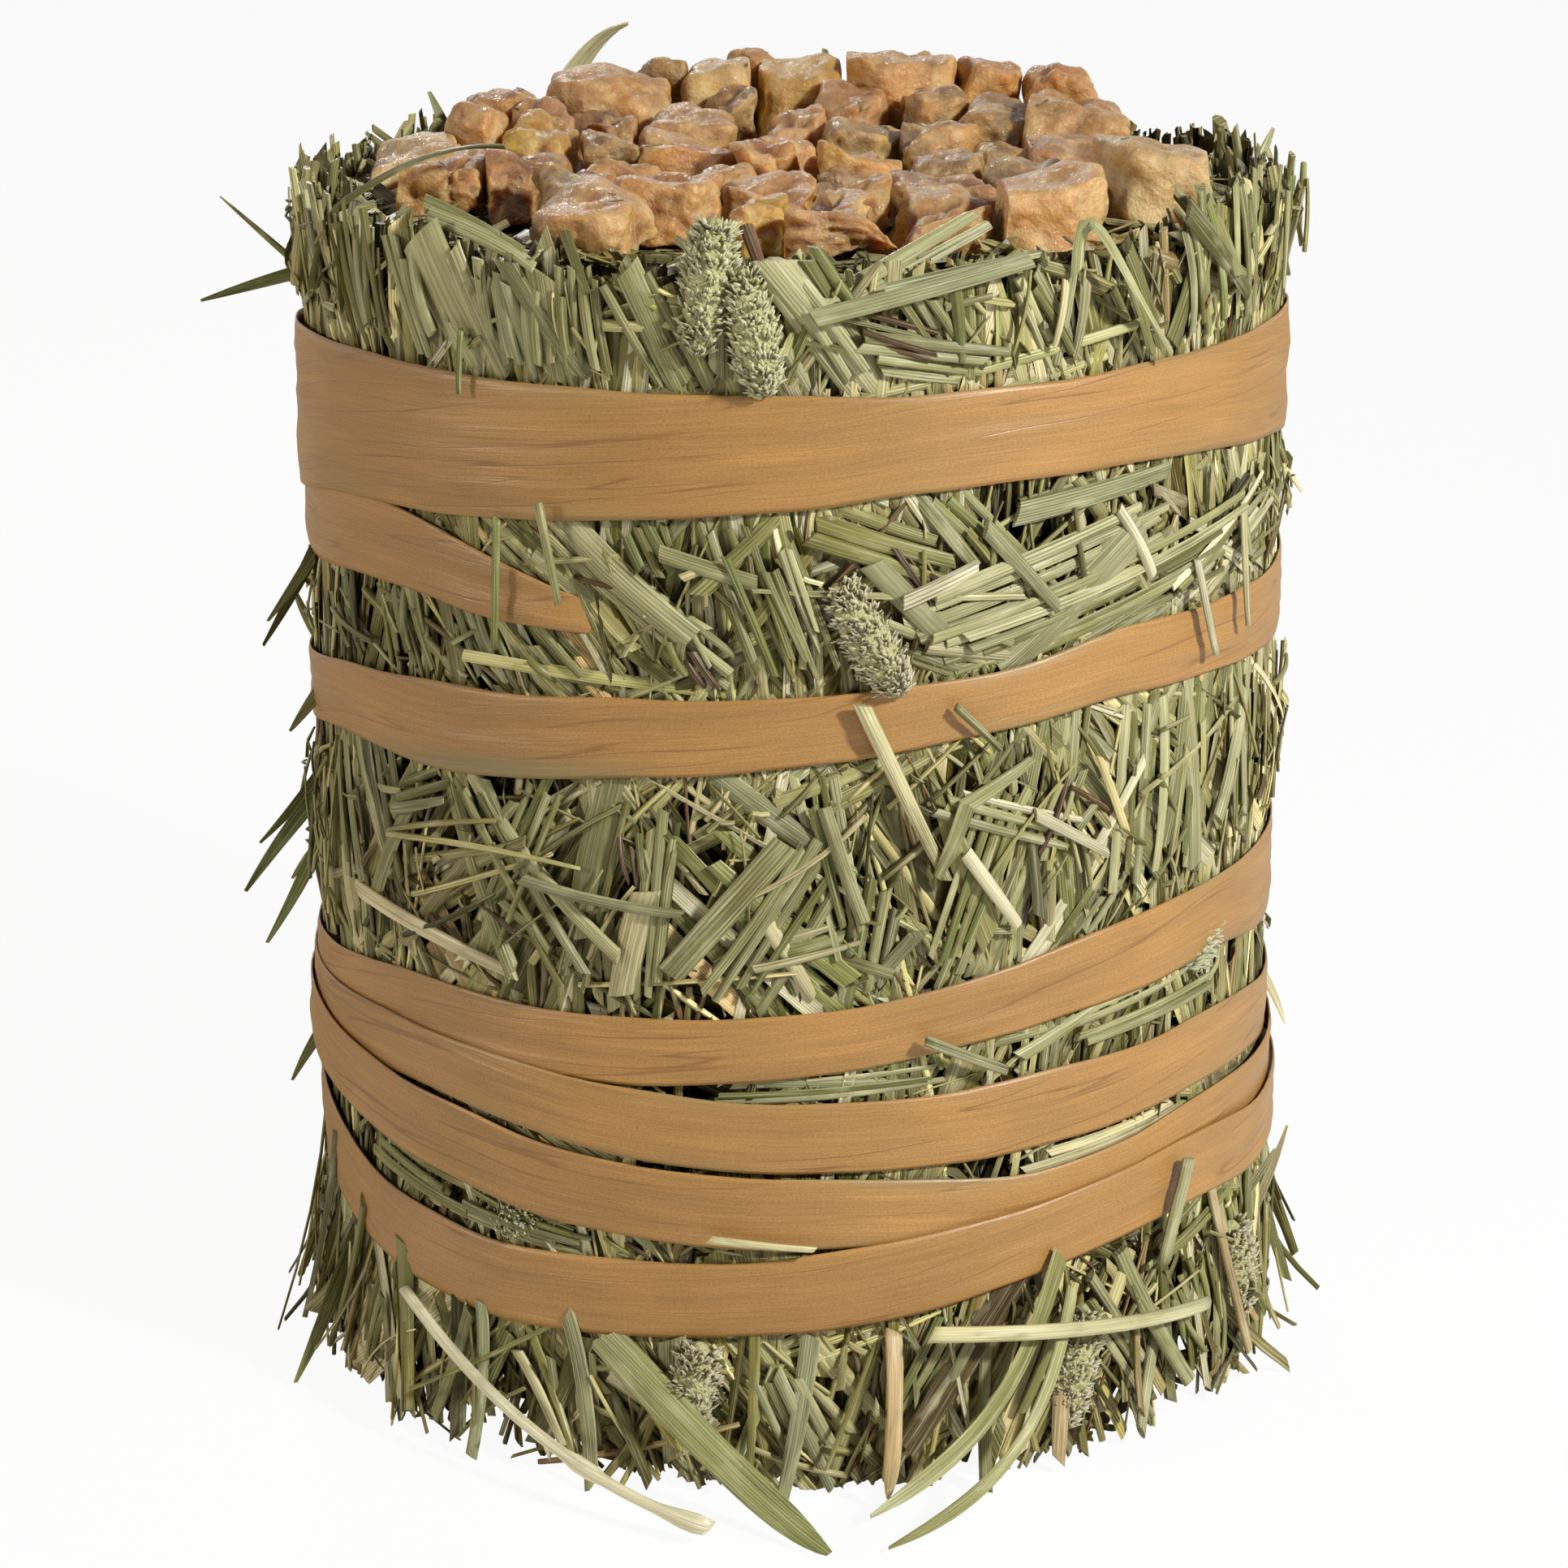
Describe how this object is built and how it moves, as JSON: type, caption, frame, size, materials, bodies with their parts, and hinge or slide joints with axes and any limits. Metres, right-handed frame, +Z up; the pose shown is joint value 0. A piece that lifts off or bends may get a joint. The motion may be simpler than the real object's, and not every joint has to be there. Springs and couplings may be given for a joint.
{
  "type": "small round hay bale with dried apple topping",
  "caption": "Small upright round bale of pressed cut timothy hay, wound with one long paper ribbon and topped with dried apple dice, as a treat for small pets.",
  "frame": {"origin": "centre of the flat base that the bale stands on", "axes": "+Z up along the bale, -Y towards the front, where the ribbon's tucked start shows at the upper left"},
  "size_m": [0.1124, 0.1241, 0.1308],
  "materials": {
    "hay": "dull pressed dry hay, grey-green with straw-yellow and brown pieces",
    "leaf_blade": "dry pale green leaf blade with fine veins along it, faint sheen",
    "straw": "dry pale straw stalk, smooth with a faint sheen",
    "ribbon": "tan paper raffia with fine lengthwise wrinkles, satin",
    "dried_apple": "wrinkled dried fruit, peach to tan, slightly sticky satin"
  },
  "bodies": {
    "root": {"pressed_hay": "hay", "paper_ribbon": "ribbon", "front_leaf_blade": "leaf_blade", "crossing_blade_left": "leaf_blade", "crossing_blade_right": "leaf_blade", "noded_stalk": "straw", "lying_stalk": "straw", "tan_stalk": "straw", "apple_dice_01": "dried_apple", "apple_dice_02": "dried_apple", "apple_dice_03": "dried_apple", "apple_dice_04": "dried_apple", "apple_dice_05": "dried_apple", "apple_dice_06": "dried_apple", "apple_dice_07": "dried_apple", "apple_dice_08": "dried_apple", "apple_dice_09": "dried_apple", "apple_dice_10": "dried_apple", "apple_dice_11": "dried_apple", "apple_dice_12": "dried_apple", "apple_dice_13": "dried_apple", "apple_dice_14": "dried_apple", "apple_dice_15": "dried_apple", "apple_dice_16": "dried_apple", "apple_dice_17": "dried_apple", "apple_dice_18": "dried_apple", "apple_dice_19": "dried_apple", "apple_dice_20": "dried_apple", "apple_dice_21": "dried_apple", "apple_dice_22": "dried_apple", "apple_dice_23": "dried_apple", "apple_dice_24": "dried_apple", "apple_dice_25": "dried_apple", "apple_dice_26": "dried_apple", "apple_dice_27": "dried_apple", "apple_dice_28": "dried_apple", "apple_dice_29": "dried_apple", "apple_dice_30": "dried_apple", "apple_dice_31": "dried_apple", "apple_dice_32": "dried_apple", "apple_dice_33": "dried_apple", "apple_dice_34": "dried_apple", "apple_dice_35": "dried_apple", "apple_dice_36": "dried_apple", "apple_dice_37": "dried_apple", "apple_dice_38": "dried_apple", "apple_dice_39": "dried_apple", "apple_dice_40": "dried_apple", "apple_dice_41": "dried_apple", "apple_dice_42": "dried_apple", "apple_dice_43": "dried_apple", "apple_dice_44": "dried_apple", "apple_dice_45": "dried_apple", "apple_dice_46": "dried_apple", "apple_dice_47": "dried_apple", "apple_dice_48": "dried_apple"}
  },
  "joints": []
}
